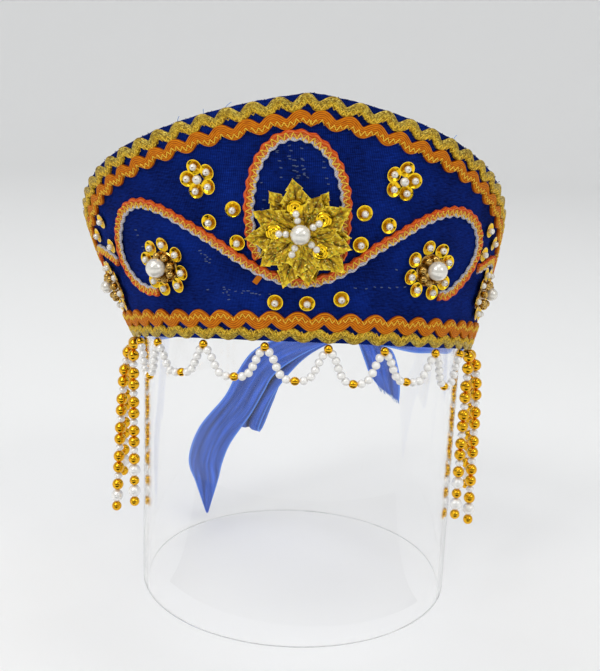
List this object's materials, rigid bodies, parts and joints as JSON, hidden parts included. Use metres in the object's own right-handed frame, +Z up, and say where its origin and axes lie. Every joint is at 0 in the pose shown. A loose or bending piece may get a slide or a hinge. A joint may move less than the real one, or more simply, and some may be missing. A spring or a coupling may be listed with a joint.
{
  "type": "kokoshnik headdress on tube stand",
  "caption": "Curved blue cloth kokoshnik with rick-rack, braid scrolls, sequins, pearls, a gold leaf flower and bead strings, tied by a satin ribbon round a clear tube stand.",
  "frame": {"origin": "middle of the object's outline seen from above, on the surface that the tube stands on", "axes": "+Z up along the tube, the decorated face looks along -Y, +X to the viewer's right"},
  "size_m": [0.2412, 0.234, 0.3035],
  "materials": {
    "clear_acrylic": "clear, polished",
    "blue_cloth": "coarse plain weave, matt",
    "gold_rickrack": "metallic yarn, sparkling",
    "orange_rickrack": "braided cotton with a gold thread",
    "scroll_braid": "braided cotton in orange, gold and white",
    "gold_sequin": "metallised gold",
    "antique_gold": "metallised antique gold",
    "pearl": "pearl coating",
    "gold_leaf": "embossed gold foil cloth",
    "gold_bead": "metallised gold",
    "blue_satin": "satin weave"
  },
  "bodies": {
    "root": {"stand_tube": "clear_acrylic", "panel": "blue_cloth", "trim_top_gold": "gold_rickrack", "trim_bottom_gold": "gold_rickrack", "trim_top_orange": "orange_rickrack", "trim_bottom_orange": "orange_rickrack", "scroll_braid": "scroll_braid", "loop_braid": "scroll_braid", "side_braid_left": "scroll_braid", "side_braid_right": "scroll_braid", "sequin_01": "gold_sequin", "sequin_02": "gold_sequin", "sequin_03": "gold_sequin", "sequin_04": "gold_sequin", "sequin_05": "gold_sequin", "sequin_06": "gold_sequin", "sequin_07": "gold_sequin", "sequin_08": "gold_sequin", "sequin_09": "gold_sequin", "sequin_10": "gold_sequin", "sequin_11": "gold_sequin", "sequin_12": "gold_sequin", "sequin_13": "gold_sequin", "sequin_14": "gold_sequin", "sequin_15": "gold_sequin", "sequin_flower_left": "gold_sequin", "sequin_flower_right": "gold_sequin", "flower_stamens": "gold_sequin", "rosette_left": "antique_gold", "rosette_right": "antique_gold", "rosette_far_left": "antique_gold", "rosette_far_right": "antique_gold", "rosette_pearl_left": "pearl", "rosette_pearl_right": "pearl", "rosette_pearl_far_left": "pearl", "rosette_pearl_far_right": "pearl", "flower_pearl": "pearl", "swag_1": "pearl", "swag_2": "pearl", "swag_3": "pearl", "swag_4": "pearl", "swag_5": "pearl", "swag_6": "pearl", "swag_7": "pearl", "flower_leaves_back": "gold_leaf", "flower_leaves_middle": "gold_leaf", "flower_leaves_front": "gold_leaf", "strand_left_a": "gold_bead", "strand_left_b": "gold_bead", "strand_left_c": "gold_bead", "strand_right_a": "gold_bead", "strand_right_b": "gold_bead", "strand_right_c": "gold_bead", "ribbon_tie_left": "blue_satin", "ribbon_tie_right": "blue_satin", "ribbon_loop": "blue_satin", "ribbon_tail_long": "blue_satin", "ribbon_tail_short": "blue_satin", "ribbon_knot": "blue_satin"}
  },
  "joints": []
}
